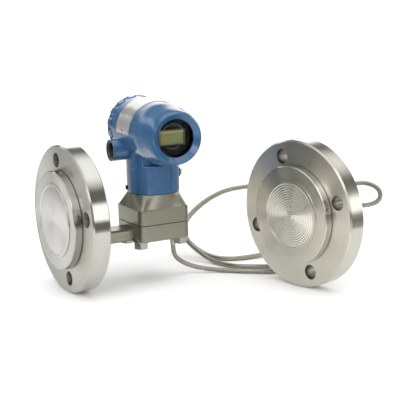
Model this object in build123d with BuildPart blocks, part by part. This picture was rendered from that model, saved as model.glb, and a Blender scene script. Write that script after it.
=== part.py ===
from build123d import *
from math import cos, degrees, radians, sin, tan
import os

os.makedirs("parts", exist_ok=True)

# Flanged seals: a backing flange over a seal body that stands proud of it
flange_diameter = 190.5
flange_thickness = 24.0
rim_chamfer = 2.0
bolt_circle_diameter = 152.4
bolt_hole_diameter = 19.1
bolt_hole_count = 4
process_hole_turn = -10.0
remote_hole_turn = -19.0
face_diameter = 127.0
face_height = 12.0
face_chamfer = 1.0
face_relief = 0.8
hub_diameter = 60.0
hub_clearance = 0.2
seal_step_height = 0.8
process_land = 3.0
remote_land = 4.5
membrane_diameter = 90.0
membrane_thickness = 1.6
membrane_crown = 1.0
groove_count = 12
groove_depth = 0.35
remote_membrane_diameter = 83.0
centre_button_diameter = 9.0

# Back of each seal
process_back_diameter = 86.0
process_back_length = 10.0
remote_back_diameter = 52.0
remote_back_length = 12.0
back_chamfer = 1.2
fill_plug_across_flats = 8.0
fill_plug_height = 4.0
fill_plug_offset = 17.0

# Where the transmitter and the remote seal stand, from the process flange's front face
stand_off = 131.0
remote_position = (261.0, -145.0, 0.0)
remote_turn = 11.7

# Pressure block, with the arm that carries it on the process seal
block_offset = -1.5
block_width = 73.0
block_depth = 72.0
block_corner = 8.0
block_height = 21.5
block_bottom = -38.0
block_edge = 1.2
arm_depth = 34.0
arm_height = 16.5
arm_edge = 4.0
gasket_thickness = 1.0
gasket_inset = 1.0
bolt_side_margin = 7.5
bolt_end_margin = 15.35
bolt_diameter = 10.0
bolt_head_across_flats = 17.0
bolt_head_height = 8.5
bolt_head_edge = 0.9
washer_diameter = 20.0
washer_thickness = 1.5
bolt_engagement = 14.0
bolt_end_room = 1.0
bolt_fit = 0.2

# Sensor module: a block with a shoulder and the stem that the housing turns on
module_block_height = 19.5
shoulder_height = 18.5
shoulder_diameter = 68.0
stem_diameter = 50.0
stem_height = 18.0
turning_clearance = 0.3
neck_ring_section = 2.0
neck_ring_room = 0.35

# Capillary fittings
capillary_diameter = 6.4
adapter_inset = 9.5
adapter_offset = -3.5
adapter_across_flats = 11.0
adapter_hex_height = 8.0
relief_length = 9.0
relief_wall = 1.4
socket_diameter = 16.0
socket_length = 9.0
remote_relief_length = 14.0
socket_lead = 25.0
bend_share = 0.45

# Electronics housing, measured from the neck's axis and along the covers' axis
swivel_at_rest = 4.5
cover_axis_height = 103.0
barrel_diameter = 81.2
barrel_front = 25.0
barrel_rear = 26.0
neck_diameter = 69.0
neck_room = 1.0
neck_edge = 2.5
neck_foot_edge = 0.8
spigot_diameter = 72.0
spigot_length = 11.0
chamber_diameter = 67.0
web_front = 5.0
web_rear = 1.0
entry_rear = 10.0
entry_drop = 23.5
entry_reach = 55.0
entry_boss_diameter = 28.5
entry_bore_diameter = 21.4
entry_thread_length = 16.0
entry_chamfer = 2.4
entry_passage_diameter = 16.0

# Covers, each on its own ring, which the cover pushes along as it is unscrewed
cover_clearance = 0.3
spigot_end_room = 1.0
cover_ring_section = 2.0
ring_room = 0.2
cover_diameter = 81.0
front_cover_length = 61.0
cover_straight = 12.0
cover_waist_diameter = 76.0
cover_waist_back = 28.0
cover_brow_diameter = 70.4
cover_brow_back = 8.0
cover_nose_diameter = 66.0
cover_nose_bevel = 2.0
window_mouth_diameter = 62.5
window_diameter = 49.0
window_depth = 6.0
window_lip = 1.5
glass_diameter = 57.4
glass_thickness = 6.0
glass_play = 0.2
retainer_thickness = 3.0
retainer_bore = 50.0
cover_cavity_diameter = 66.0
rear_cover_length = 31.0
rear_cover_diameter = 80.0
rear_wall = 6.0
rear_edge = 2.0
grip_diameter = 81.6
grip_length = 12.0
grip_inset = 2.0
scallop_count = 16
scallop_diameter = 11.0
scallop_depth = 2.0

# Display and electronics
display_gap = 0.5
display_diameter = 60.0
display_depth = 16.0
display_window_width = 34.0
display_window_offset = -1.5
display_window_height = 17.6
display_window_depth = 1.4
panel_thickness = 0.9
panel_margin = 0.2
pillar_diameter = 5.0
pillar_spacing = 40.0
module_diameter = 64.0
module_depth = 20.0
terminal_width = 44.0
terminal_height = 26.0
terminal_depth = 13.0
terminal_count = 4
terminal_pitch = 10.0
terminal_head_diameter = 6.4
terminal_head_height = 2.4
barrier_thickness = 1.2
barrier_height = 3.0
earth_screw_diameter = 7.0
earth_screw_height = 3.0
earth_screw_rise = 22.0

# Nameplate, screws and plug on the outside of the housing
plate_thickness = 0.6
plate_seat = 0.1
plate_front = 21.0
plate_rear = 21.0
plate_start_turn = 52.0
plate_end_turn = 181.0
plate_screw_diameter = 4.0
plate_screw_height = 1.0
plate_screw_inset = 5.0
lock_screw_height = 28.5
lock_screw_diameter = 6.0
lock_screw_stand = 2.0
lock_screw_turn = 165.0
lock_socket_across_flats = 3.0
screw_slot_width = 1.0
screw_slot_depth = 1.2
ground_boss_diameter = 13.0
ground_screw_height = 44.0
ground_boss_stand = 3.0
ground_head_diameter = 8.0
ground_head_height = 3.0
plug_collar_diameter = 24.0
plug_collar_length = 3.0
plug_square = 9.5
plug_square_length = 7.0
plug_body_clearance = 0.1
plug_end_room = 1.0
plug_edge = 0.8
seat = 0.05
match = 0.01

# Planes that the pieces are drawn on
seal_section = Plane.XZ
remote_face = Plane(
    origin=remote_position,
    x_dir=(cos(radians(remote_turn)), sin(radians(remote_turn)), 0),
    z_dir=(0, 0, 1),
)
remote_place = remote_face.location
side = Vector(cos(radians(swivel_at_rest)), -sin(radians(swivel_at_rest)), 0)
front = Vector(-sin(radians(swivel_at_rest)), -cos(radians(swivel_at_rest)), 0)
up = Vector(0, 0, 1)
neck_centre = Vector(stand_off, 0, 0)
block_centre = Vector(stand_off + block_offset, 0, 0)
cover_centre = neck_centre + up * cover_axis_height
cover_section = Plane(origin=cover_centre, x_dir=up, z_dir=up.cross(front))
cover_axis = Axis(cover_centre, front)


def level(height):
    return Plane(origin=neck_centre + up * height, x_dir=(1, 0, 0), z_dir=up)


def block_level(height):
    return Plane(origin=block_centre + up * height, x_dir=(1, 0, 0), z_dir=up)


def swivelled_level(height):
    return Plane(origin=neck_centre + up * height, x_dir=side, z_dir=up)


def facing_front(distance):
    return Plane(origin=cover_centre + front * distance, x_dir=side, z_dir=front)


def facing_rear(distance):
    return Plane(origin=cover_centre - front * distance, x_dir=-side, z_dir=-front)


# Backing flange: a turned ring with bolt holes, its front face at the origin
seal_face = -face_height
flange_back = flange_thickness


def make_flange(hole_turn):
    with BuildPart() as flange:
        with BuildSketch(Plane.YZ):
            Circle(flange_diameter / 2)
            Circle(hub_diameter / 2 + hub_clearance, mode=Mode.SUBTRACT)
        extrude(amount=flange_thickness)
        rims = flange.edges().filter_by(GeomType.CIRCLE).group_by(SortBy.RADIUS)[-1]
        chamfer(rims, rim_chamfer)
        with BuildSketch(Plane.YZ):
            with PolarLocations(bolt_circle_diameter / 2, bolt_hole_count, start_angle=hole_turn):
                Circle(bolt_hole_diameter / 2)
        extrude(amount=flange_thickness, mode=Mode.SUBTRACT)
    return flange.part


# Seal body: the proud disc, its stepped face, the hub through the flange and the back
def make_seal_body(back_diameter, back_length, foil_diameter, land):
    face = face_diameter / 2
    step = foil_diameter / 2 + land
    hub = hub_diameter / 2
    back = back_diameter / 2
    pocket = foil_diameter / 2 + seat
    with BuildPart() as body:
        with BuildSketch(seal_section):
            with BuildLine():
                Polyline(
                    (seal_face + membrane_thickness, 0),
                    (seal_face + membrane_thickness, pocket),
                    (seal_face, pocket),
                    (seal_face, step),
                    (seal_face + seal_step_height, step),
                    (seal_face + seal_step_height, face - face_chamfer),
                    (seal_face + seal_step_height + face_chamfer, face),
                    (-face_relief, face),
                    (0, face - face_relief),
                    (0, hub),
                    (flange_back, hub),
                    (flange_back, back),
                    (flange_back + back_length - back_chamfer, back),
                    (flange_back + back_length, back - back_chamfer),
                    (flange_back + back_length, 0),
                    close=True,
                )
            make_face()
        revolve(axis=Axis.X)
    return body.part


process_flange_part = make_flange(process_hole_turn)
process_flange_part.label = "process_flange"
export_step(process_flange_part, "parts/process_flange.step")

remote_flange_part = remote_place * make_flange(remote_hole_turn)
remote_flange_part.label = "remote_flange"
export_step(remote_flange_part, "parts/remote_flange.step")

process_seal_part = make_seal_body(
    process_back_diameter, process_back_length, membrane_diameter, process_land
)
process_seal_part.label = "process_seal_body"
export_step(process_seal_part, "parts/process_seal_body.step")

remote_seal_part = remote_place * make_seal_body(
    remote_back_diameter, remote_back_length, remote_membrane_diameter, remote_land
)
remote_seal_part.label = "remote_seal_body"
export_step(remote_seal_part, "parts/remote_seal_body.step")

# Process diaphragm: smooth, with a slight crown
process_radius = membrane_diameter / 2
with BuildPart() as process_diaphragm:
    with BuildSketch(seal_section):
        with BuildLine():
            Polyline(
                (seal_face - membrane_crown, 0),
                (seal_face + membrane_thickness, 0),
                (seal_face + membrane_thickness, process_radius),
                (seal_face, process_radius),
                (seal_face, process_radius - membrane_crown),
            )
            Spline(
                (seal_face, process_radius - membrane_crown),
                (seal_face - membrane_crown, 0),
                tangents=((-0.1, -1), (0, -1)),
            )
        make_face()
    revolve(axis=Axis.X)
process_diaphragm.part.label = "process_diaphragm"
export_step(process_diaphragm.part, "parts/process_diaphragm.step")

# Remote diaphragm: concentric corrugations round a plain centre button
remote_radius = remote_membrane_diameter / 2
button_radius = centre_button_diameter / 2
groove_pitch = (remote_radius - button_radius) / groove_count
corrugation = [(seal_face + membrane_thickness, 0), (seal_face, 0), (seal_face, button_radius)]
for groove in range(groove_count):
    groove_start = button_radius + groove * groove_pitch
    corrugation.append((seal_face + groove_depth, groove_start + groove_pitch / 2))
    corrugation.append((seal_face, groove_start + groove_pitch))
corrugation.append((seal_face + membrane_thickness, remote_radius))
with BuildPart() as remote_diaphragm:
    with BuildSketch(seal_section):
        with BuildLine():
            Polyline(*corrugation, close=True)
        make_face()
    revolve(axis=Axis.X)
remote_diaphragm_part = remote_place * remote_diaphragm.part
remote_diaphragm_part.label = "remote_diaphragm"
export_step(remote_diaphragm_part, "parts/remote_diaphragm.step")

# Arm from the back of the process seal to the pressure block
arm_start = flange_back + process_back_length
block_left = block_centre.X - block_width / 2
with BuildPart() as connecting_arm:
    with BuildSketch(Plane.YZ.offset(arm_start)):
        with Locations((0, block_bottom + arm_height / 2)):
            RectangleRounded(arm_depth, arm_height, arm_edge)
    extrude(amount=block_left - arm_start)
connecting_arm.part.label = "connecting_arm"
export_step(connecting_arm.part, "parts/connecting_arm.step")

# Pressure block, bored for its four bolts
block_top = block_bottom + block_height
bolt_spacing = (block_width - 2 * bolt_side_margin, block_depth - 2 * bolt_end_margin)
with BuildPart() as pressure_block:
    with BuildSketch(block_level(block_bottom)):
        RectangleRounded(block_width, block_depth, block_corner)
    extrude(amount=block_height)
    chamfer(pressure_block.faces().sort_by(Axis.Z)[0].edges(), block_edge)
    with BuildSketch(block_level(block_bottom)):
        with GridLocations(*bolt_spacing, 2, 2):
            Circle(bolt_diameter / 2 + bolt_fit)
    extrude(amount=block_height, mode=Mode.SUBTRACT)
pressure_block.part.label = "pressure_block"
export_step(pressure_block.part, "parts/pressure_block.step")

# Gasket between the block and the sensor module
module_bottom = block_top + gasket_thickness
with BuildPart() as module_gasket:
    with BuildSketch(block_level(block_top)):
        RectangleRounded(
            block_width - 2 * gasket_inset,
            block_depth - 2 * gasket_inset,
            block_corner - gasket_inset,
        )
        with GridLocations(*bolt_spacing, 2, 2):
            Circle(bolt_diameter / 2 + bolt_fit, mode=Mode.SUBTRACT)
    extrude(amount=gasket_thickness)
module_gasket.part.label = "module_gasket"
export_step(module_gasket.part, "parts/module_gasket.step")

# Sensor module: square body, shoulder to a round top, stem for the housing
module_top = module_bottom + module_block_height
shoulder_top = module_top + shoulder_height
stem_radius = stem_diameter / 2
with BuildPart() as sensor_module:
    with BuildSketch(block_level(module_bottom)):
        RectangleRounded(block_width, block_depth, block_corner)
    extrude(amount=module_block_height)
    with BuildSketch(block_level(module_top)):
        RectangleRounded(
            block_width - 2 * block_edge, block_depth - 2 * block_edge, block_corner - block_edge
        )
    with BuildSketch(level(shoulder_top)):
        Circle(shoulder_diameter / 2)
    loft()
    with BuildSketch(level(shoulder_top)):
        Circle(stem_radius)
    extrude(amount=stem_height)
    with BuildSketch(block_level(module_bottom)):
        with GridLocations(*bolt_spacing, 2, 2):
            Circle(bolt_diameter / 2 + bolt_fit)
    extrude(amount=bolt_engagement, mode=Mode.SUBTRACT)
sensor_module.part.label = "sensor_module"
export_step(sensor_module.part, "parts/sensor_module.step")

# Four bolts with their washers under the heads
washer_bottom = block_bottom - washer_thickness
with BuildPart() as block_washers:
    with BuildSketch(block_level(washer_bottom)):
        with GridLocations(*bolt_spacing, 2, 2):
            Circle(washer_diameter / 2)
            Circle(bolt_diameter / 2 + bolt_fit, mode=Mode.SUBTRACT)
    extrude(amount=washer_thickness)
block_washers.part.label = "block_washers"
export_step(block_washers.part, "parts/block_washers.step")

bolt_length = bolt_engagement - bolt_end_room + gasket_thickness + block_height + washer_thickness
with BuildPart() as block_bolts:
    with BuildSketch(block_level(washer_bottom - bolt_head_height)):
        with GridLocations(*bolt_spacing, 2, 2):
            RegularPolygon(bolt_head_across_flats / 2, 6, major_radius=False)
    extrude(amount=bolt_head_height)
    chamfer(block_bolts.faces().group_by(Axis.Z)[0].edges(), bolt_head_edge)
    with BuildSketch(block_level(washer_bottom)):
        with GridLocations(*bolt_spacing, 2, 2):
            Circle(bolt_diameter / 2)
    extrude(amount=bolt_length)
block_bolts.part.label = "block_bolts"
export_step(block_bolts.part, "parts/block_bolts.step")

# Adapter under the block, tapering to the capillary
capillary_radius = capillary_diameter / 2
adapter_centre = (block_centre.X + block_width / 2 - adapter_inset, adapter_offset)
adapter_hex_bottom = block_bottom - adapter_hex_height
capillary_start = adapter_hex_bottom - relief_length
with BuildPart() as capillary_adapter:
    with BuildSketch(Plane.XY.offset(adapter_hex_bottom)):
        with Locations(adapter_centre):
            RegularPolygon(adapter_across_flats / 2, 6, major_radius=False)
    extrude(amount=adapter_hex_height)
    with BuildSketch(Plane.XY.offset(adapter_hex_bottom)):
        with Locations(adapter_centre):
            Circle(capillary_radius + relief_wall)
    with BuildSketch(Plane.XY.offset(capillary_start)):
        with Locations(adapter_centre):
            Circle(capillary_radius)
    loft()
capillary_adapter.part.label = "capillary_adapter"
export_step(capillary_adapter.part, "parts/capillary_adapter.step")

# Socket and strain relief in the middle of the remote seal's back
remote_back = flange_back + remote_back_length
with BuildPart() as remote_socket:
    with BuildSketch(Plane.YZ.offset(remote_back)):
        Circle(socket_diameter / 2)
    extrude(amount=socket_length)
    with BuildSketch(Plane.YZ.offset(remote_back + socket_length)):
        Circle(capillary_radius + relief_wall)
    with BuildSketch(Plane.YZ.offset(remote_back + socket_length + remote_relief_length)):
        Circle(capillary_radius)
    loft()
remote_socket_part = remote_place * remote_socket.part
remote_socket_part.label = "remote_socket"
export_step(remote_socket_part, "parts/remote_socket.step")

# Capillary: armoured tube of one length, its free run laid down as chosen points
remote_axis = Vector(cos(radians(remote_turn)), sin(radians(remote_turn)), 0)
adapter_tip = Vector(*adapter_centre, capillary_start)
socket_tip = Vector(*remote_position) + remote_axis * (
    remote_back + socket_length + remote_relief_length
)
capillary_run = [
    # Out of the adapter, down to the table and along it
    (156.5, -3.5, -64), (161, -4, -73), (172, -6, -82), (190, -13, -89),
    (213, -31, -92), (243, -59, -92),
    # First turn: up behind the remote seal and over
    (276, -82, -92), (314, -84, -90), (346, -62, -80), (366, -28, -62),
    (372, 10, -38), (362, 44, -17),
    # down behind the block and forward on the table
    (340, 66, -5), (314, 76, -7), (286, 80, -9), (256, 84, -21),
    (227, 82, -39), (211, 70, -54), (209, 56, -68),
    # Second turn, inside the first: along the table and up
    (218, 44, -80), (226, 25, -90), (230, 0, -92), (239, -23, -92),
    (260, -41, -92), (292, -58, -92),
    # over the top
    (322, -50, -88), (344, -26, -76), (358, 6, -56), (362, 40, -34),
    (355, 70, -18), (338, 88, -10),
    # down behind the block and forward again
    (314, 96, -12), (290, 99, -16), (263, 101, -28), (236, 98, -45),
    (221, 86, -58), (218, 72, -71), (225, 60, -81), (233, 45, -89),
    (242, 26, -92), (257, 12, -92),
    # Along the table and up to the remote seal's height
    (281, 7, -92), (314, 4, -90), (346, 6, -84), (374, -4, -68),
    (388, -22, -44), (387, -42, -18), (396, -55, 1),
    # Ring beside the remote seal
    (411, -64, 10), (424, -79, 11), (427, -99, 6), (416, -118, -2),
    (396, -130, -6), (372, -130, -6),
]
capillary_points = [
    adapter_tip,
    *[Vector(*point) for point in capillary_run],
    socket_tip + remote_axis * socket_lead,
    socket_tip,
]
capillary_steps = [end - start for start, end in zip(capillary_points, capillary_points[1:])]
capillary_bends = [
    bend_share * min(before.length, after.length) / tan(radians(before.get_angle(after)) / 2)
    for before, after in zip(capillary_steps, capillary_steps[1:])
]
print("capillary bend radii", [round(bend) for bend in capillary_bends])
with BuildPart() as capillary:
    with BuildLine() as capillary_path:
        FilletPolyline(*capillary_points, radius=capillary_bends)
    with BuildSketch(Plane(origin=adapter_tip, z_dir=capillary_steps[0])):
        Circle(capillary_radius)
    sweep()
print("capillary length", round(sum(edge.length for edge in capillary_path.edges()), 1))
capillary.part.label = "capillary"
export_step(capillary.part, "parts/capillary.step")

# Fill plug beside the socket
with BuildPart() as fill_plug:
    with BuildSketch(Plane.YZ.offset(remote_back)):
        with Locations((0, fill_plug_offset)):
            RegularPolygon(fill_plug_across_flats / 2, 6, major_radius=False)
    extrude(amount=fill_plug_height)
fill_plug_part = remote_place * fill_plug.part
fill_plug_part.label = "fill_plug"
export_step(fill_plug_part, "parts/fill_plug.step")

# Housing: neck, barrel with a spigot at each end, and two conduit bosses
neck_bottom = shoulder_top + turning_clearance
neck_top = cover_axis_height - cover_diameter / 2 - neck_room
barrel_radius = barrel_diameter / 2
spigot_radius = spigot_diameter / 2
chamber_radius = chamber_diameter / 2
entry_height = cover_axis_height - entry_drop
entry_centre = neck_centre - front * entry_rear + up * entry_height
stem_top = shoulder_top + stem_height


def facing_entry(direction):
    return Plane(origin=entry_centre + direction * entry_reach, x_dir=front, z_dir=direction)


def facing_ground(distance):
    start = neck_centre + up * ground_screw_height
    return Plane(origin=start + side * distance, x_dir=up, z_dir=side)


def facing_lock(distance):
    turn = radians(lock_screw_turn)
    outward = side * cos(turn) - front * sin(turn)
    start = neck_centre + up * lock_screw_height
    return Plane(origin=start + outward * distance, x_dir=up, z_dir=outward)


with BuildPart() as electronics_housing:
    with BuildSketch(swivelled_level(neck_bottom)):
        Circle(neck_diameter / 2)
    extrude(amount=neck_top - neck_bottom)
    fillet(electronics_housing.edges().group_by(Axis.Z)[-1], neck_edge)
    chamfer(electronics_housing.edges().group_by(Axis.Z)[0], neck_foot_edge)
    with BuildSketch(swivelled_level(neck_top - neck_edge)):
        Circle(neck_diameter / 2)
        with Locations((0, (barrel_rear - barrel_front) / 2)):
            Rectangle(neck_diameter, barrel_front + barrel_rear, mode=Mode.INTERSECT)
    extrude(amount=cover_axis_height - neck_top + neck_edge)
    with BuildSketch(cover_section):
        with Locations((barrel_radius / 2, (barrel_front - barrel_rear) / 2)):
            Rectangle(barrel_radius, barrel_front + barrel_rear)
        with Locations((spigot_radius / 2, (barrel_front - barrel_rear) / 2)):
            Rectangle(spigot_radius, barrel_front + barrel_rear + 2 * spigot_length)
    revolve(axis=cover_axis)
    with BuildSketch(facing_entry(side), facing_entry(-side)):
        Circle(entry_boss_diameter / 2)
    extrude(amount=-entry_reach)
    with BuildSketch(cover_section):
        with Locations((chamber_radius / 2, (barrel_front + spigot_length + web_front) / 2)):
            Rectangle(chamber_radius, barrel_front + spigot_length - web_front)
        with Locations((chamber_radius / 2, -(barrel_rear + spigot_length + web_rear) / 2)):
            Rectangle(chamber_radius, barrel_rear + spigot_length - web_rear)
    revolve(axis=cover_axis, mode=Mode.SUBTRACT)
    with BuildSketch(facing_entry(side), facing_entry(-side)):
        Circle(entry_bore_diameter / 2)
    extrude(amount=-entry_thread_length, mode=Mode.SUBTRACT)
    mouths = (
        electronics_housing.edges()
        .filter_by(GeomType.CIRCLE)
        .filter_by(lambda edge: abs(edge.radius - entry_bore_diameter / 2) < match)
        .filter_by(lambda edge: abs((edge.arc_center - entry_centre).length - entry_reach) < match)
    )
    chamfer(mouths, entry_chamfer)
    with BuildSketch(facing_entry(side), facing_entry(-side)):
        Circle(entry_passage_diameter / 2)
    extrude(amount=-(entry_reach - chamber_radius / 2), mode=Mode.SUBTRACT)
    with BuildSketch(facing_ground(0)):
        Circle(ground_boss_diameter / 2)
    extrude(amount=neck_diameter / 2 + ground_boss_stand)
    with BuildSketch(facing_lock(0)):
        Circle(lock_screw_diameter / 2)
    extrude(amount=neck_diameter, mode=Mode.SUBTRACT)
    with BuildSketch(swivelled_level(neck_bottom)):
        Circle(stem_radius + turning_clearance)
    extrude(amount=stem_top + turning_clearance - neck_bottom, mode=Mode.SUBTRACT)
    with BuildSketch(swivelled_level(neck_bottom)):
        Circle(stem_radius + neck_ring_section + neck_ring_room)
    extrude(amount=neck_ring_section + neck_ring_room, mode=Mode.SUBTRACT)
electronics_housing.part.label = "electronics_housing"
export_step(electronics_housing.part, "parts/electronics_housing.step")

# Ring that seals the neck, lying on the module's shoulder
with BuildPart() as neck_ring:
    with BuildSketch(level(shoulder_top)):
        Circle(stem_radius + seat + neck_ring_section)
        Circle(stem_radius + seat, mode=Mode.SUBTRACT)
    extrude(amount=neck_ring_section)
neck_ring.part.label = "neck_ring"
export_step(neck_ring.part, "parts/neck_ring.step")

# Screw that locks the housing on the stem, and the ground screw on its boss
lock_screw_start = stem_radius + 2 * turning_clearance
lock_screw_end = neck_diameter / 2 + lock_screw_stand
with BuildPart() as lock_screw:
    with BuildSketch(facing_lock(lock_screw_start)):
        Circle(lock_screw_diameter / 2 - seat)
    extrude(amount=lock_screw_end - lock_screw_start)
    with BuildSketch(facing_lock(lock_screw_end)):
        RegularPolygon(lock_socket_across_flats / 2, 6, major_radius=False)
    extrude(amount=-lock_screw_stand, mode=Mode.SUBTRACT)
lock_screw.part.label = "lock_screw"
export_step(lock_screw.part, "parts/lock_screw.step")

ground_face = neck_diameter / 2 + ground_boss_stand
with BuildPart() as ground_screw:
    with BuildSketch(facing_ground(ground_face)):
        Circle(ground_head_diameter / 2)
    extrude(amount=ground_head_height)
    with BuildSketch(facing_ground(ground_face + ground_head_height)):
        Rectangle(screw_slot_width, ground_head_diameter)
    extrude(amount=-screw_slot_depth, mode=Mode.SUBTRACT)
ground_screw.part.label = "ground_screw"
export_step(ground_screw.part, "parts/ground_screw.step")

# Blind plug in the entry that is not used
plug_radius = entry_bore_diameter / 2 - plug_body_clearance
with BuildPart() as conduit_plug:
    with BuildSketch(facing_entry(side)):
        Circle(plug_radius)
    extrude(amount=-(entry_thread_length - plug_end_room))
    with BuildSketch(facing_entry(side)):
        Circle(plug_collar_diameter / 2)
    extrude(amount=plug_collar_length)
    with BuildSketch(facing_entry(side).offset(plug_collar_length)):
        Rectangle(plug_square, plug_square)
    extrude(amount=plug_square_length)
    chamfer(conduit_plug.faces().sort_by(Axis(entry_centre, side))[-1].edges(), plug_edge)
conduit_plug.part.label = "conduit_plug"
export_step(conduit_plug.part, "parts/conduit_plug.step")

# Nameplate wrapped round the top and the left of the barrel
plate_inner = barrel_radius + plate_seat
plate_outer = plate_inner + plate_thickness
with BuildPart() as nameplate:
    with BuildSketch(facing_front(-plate_rear)):
        with BuildLine():
            CenterArc((0, 0), plate_inner, plate_start_turn, plate_end_turn - plate_start_turn)
            CenterArc((0, 0), plate_outer, plate_start_turn, plate_end_turn - plate_start_turn)
            for end in (plate_start_turn, plate_end_turn):
                PolarLine((plate_inner * cos(radians(end)), plate_inner * sin(radians(end))),
                          plate_thickness, end)
        make_face()
    extrude(amount=plate_front + plate_rear)
nameplate.part.label = "nameplate"
export_step(nameplate.part, "parts/nameplate.step")


def facing_plate(angle, distance):
    outward = side * cos(radians(angle)) + up * sin(radians(angle))
    middle = cover_centre + front * ((plate_front - plate_rear) / 2)
    return Plane(origin=middle + outward * distance, x_dir=front, z_dir=outward)


screw_swing = degrees(plate_screw_inset / plate_outer)
with BuildPart() as plate_screws:
    for end in (plate_start_turn + screw_swing, plate_end_turn - screw_swing):
        with BuildSketch(facing_plate(end, plate_outer)):
            Circle(plate_screw_diameter / 2)
        extrude(amount=plate_screw_height)
plate_screws.part.label = "plate_screws"
export_step(plate_screws.part, "parts/plate_screws.step")


# Rings that seal the covers, lying against the barrel's shoulders
def make_cover_ring(shoulder, outward):
    start = shoulder + outward * seat
    end = start + outward * cover_ring_section
    inner = spigot_radius + cover_clearance
    with BuildPart() as ring:
        with BuildSketch(cover_section):
            with Locations((inner + cover_ring_section / 2, (start + end) / 2)):
                Rectangle(cover_ring_section, cover_ring_section)
        revolve(axis=cover_axis)
    return ring.part


front_ring_part = make_cover_ring(barrel_front, 1)
front_ring_part.label = "front_cover_ring"
export_step(front_ring_part, "parts/front_cover_ring.step")

rear_ring_part = make_cover_ring(-barrel_rear, -1)
rear_ring_part.label = "rear_cover_ring"
export_step(rear_ring_part, "parts/rear_cover_ring.step")

# Front cover: a turned cap with a conical mouth round the window
bore_radius = spigot_radius + cover_clearance
rim_pocket_radius = bore_radius + cover_ring_section + ring_room
rim_pocket_length = cover_ring_section + ring_room
front_rim = barrel_front + turning_clearance
front_face = barrel_front + front_cover_length
spigot_room = barrel_front + spigot_length + spigot_end_room
glass_front = front_face - window_depth - window_lip
pocket_start = glass_front - glass_thickness - retainer_thickness
glass_seat_radius = glass_diameter / 2 + glass_play
with BuildPart() as front_cover:
    with BuildSketch(cover_section):
        with BuildLine():
            Polyline(
                (cover_cavity_diameter / 2, pocket_start),
                (cover_cavity_diameter / 2, spigot_room),
                (bore_radius, spigot_room),
                (bore_radius, barrel_front + rim_pocket_length),
                (rim_pocket_radius, barrel_front + rim_pocket_length),
                (rim_pocket_radius, front_rim),
                (cover_diameter / 2, front_rim),
                (cover_diameter / 2, barrel_front + cover_straight),
            )
            Spline(
                (cover_diameter / 2, barrel_front + cover_straight),
                (cover_waist_diameter / 2, front_face - cover_waist_back),
                (cover_brow_diameter / 2, front_face - cover_brow_back),
                (cover_nose_diameter / 2, front_face - cover_nose_bevel),
                tangents=((0, 1), (-1, 1)),
            )
            Polyline(
                (cover_nose_diameter / 2, front_face - cover_nose_bevel),
                (cover_nose_diameter / 2 - cover_nose_bevel / 2, front_face),
                (window_mouth_diameter / 2, front_face),
                (window_diameter / 2, front_face - window_depth),
                (window_diameter / 2, glass_front),
                (glass_seat_radius, glass_front),
                (glass_seat_radius, pocket_start),
                (cover_cavity_diameter / 2, pocket_start),
            )
        make_face()
    revolve(axis=cover_axis)
front_cover.part.label = "front_cover"
export_step(front_cover.part, "parts/front_cover.step")

# Window glass and the ring that holds it
with BuildPart() as cover_glass:
    with BuildSketch(facing_front(glass_front - glass_thickness)):
        Circle(glass_diameter / 2)
    extrude(amount=glass_thickness)
cover_glass.part.label = "cover_glass"
export_step(cover_glass.part, "parts/cover_glass.step")

glass_back = glass_front - glass_thickness
with BuildPart() as glass_retainer:
    with BuildSketch(facing_front(glass_back - retainer_thickness)):
        Circle(glass_diameter / 2)
        Circle(retainer_bore / 2, mode=Mode.SUBTRACT)
    extrude(amount=retainer_thickness)
glass_retainer.part.label = "glass_retainer"
export_step(glass_retainer.part, "parts/glass_retainer.step")

# Rear cover: a plain cap with a scalloped grip
rear_rim = -barrel_rear - turning_clearance
rear_face = -barrel_rear - rear_cover_length
grip_end = rear_face + grip_inset
grip_start = grip_end + grip_length
with BuildPart() as rear_cover:
    with BuildSketch(cover_section):
        with BuildLine():
            Polyline(
                (0, rear_face + rear_wall),
                (cover_cavity_diameter / 2, rear_face + rear_wall),
                (cover_cavity_diameter / 2, -(barrel_rear + spigot_length + spigot_end_room)),
                (bore_radius, -(barrel_rear + spigot_length + spigot_end_room)),
                (bore_radius, -(barrel_rear + rim_pocket_length)),
                (rim_pocket_radius, -(barrel_rear + rim_pocket_length)),
                (rim_pocket_radius, rear_rim),
                (rear_cover_diameter / 2, rear_rim),
                (rear_cover_diameter / 2, grip_start),
                (grip_diameter / 2, grip_start),
                (grip_diameter / 2, grip_end),
                (rear_cover_diameter / 2, grip_end),
                (rear_cover_diameter / 2 - rear_edge, rear_face),
                (0, rear_face),
                close=True,
            )
        make_face()
    revolve(axis=cover_axis)
    with BuildSketch(facing_front(grip_end)):
        with PolarLocations(grip_diameter / 2 - scallop_depth + scallop_diameter / 2, scallop_count):
            Circle(scallop_diameter / 2)
    extrude(amount=grip_length, mode=Mode.SUBTRACT)
rear_cover.part.label = "rear_cover"
export_step(rear_cover.part, "parts/rear_cover.step")

# Display: a round bezel with a window, the panel in it, and the pillars behind
display_front = glass_back - retainer_thickness - display_gap
display_back = display_front - display_depth
with BuildPart() as display_bezel:
    with BuildSketch(facing_front(display_back)):
        Circle(display_diameter / 2)
    extrude(amount=display_depth)
    with BuildSketch(facing_front(display_front)):
        with Locations((display_window_offset, 0)):
            Rectangle(display_window_width, display_window_height)
    extrude(amount=-(display_window_depth + panel_thickness), mode=Mode.SUBTRACT)
display_bezel.part.label = "display_bezel"
export_step(display_bezel.part, "parts/display_bezel.step")

with BuildPart() as display_panel:
    with BuildSketch(facing_front(display_front - display_window_depth)):
        with Locations((display_window_offset, 0)):
            Rectangle(display_window_width - panel_margin, display_window_height - panel_margin)
    extrude(amount=-panel_thickness)
display_panel.part.label = "display_panel"
export_step(display_panel.part, "parts/display_panel.step")

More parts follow.
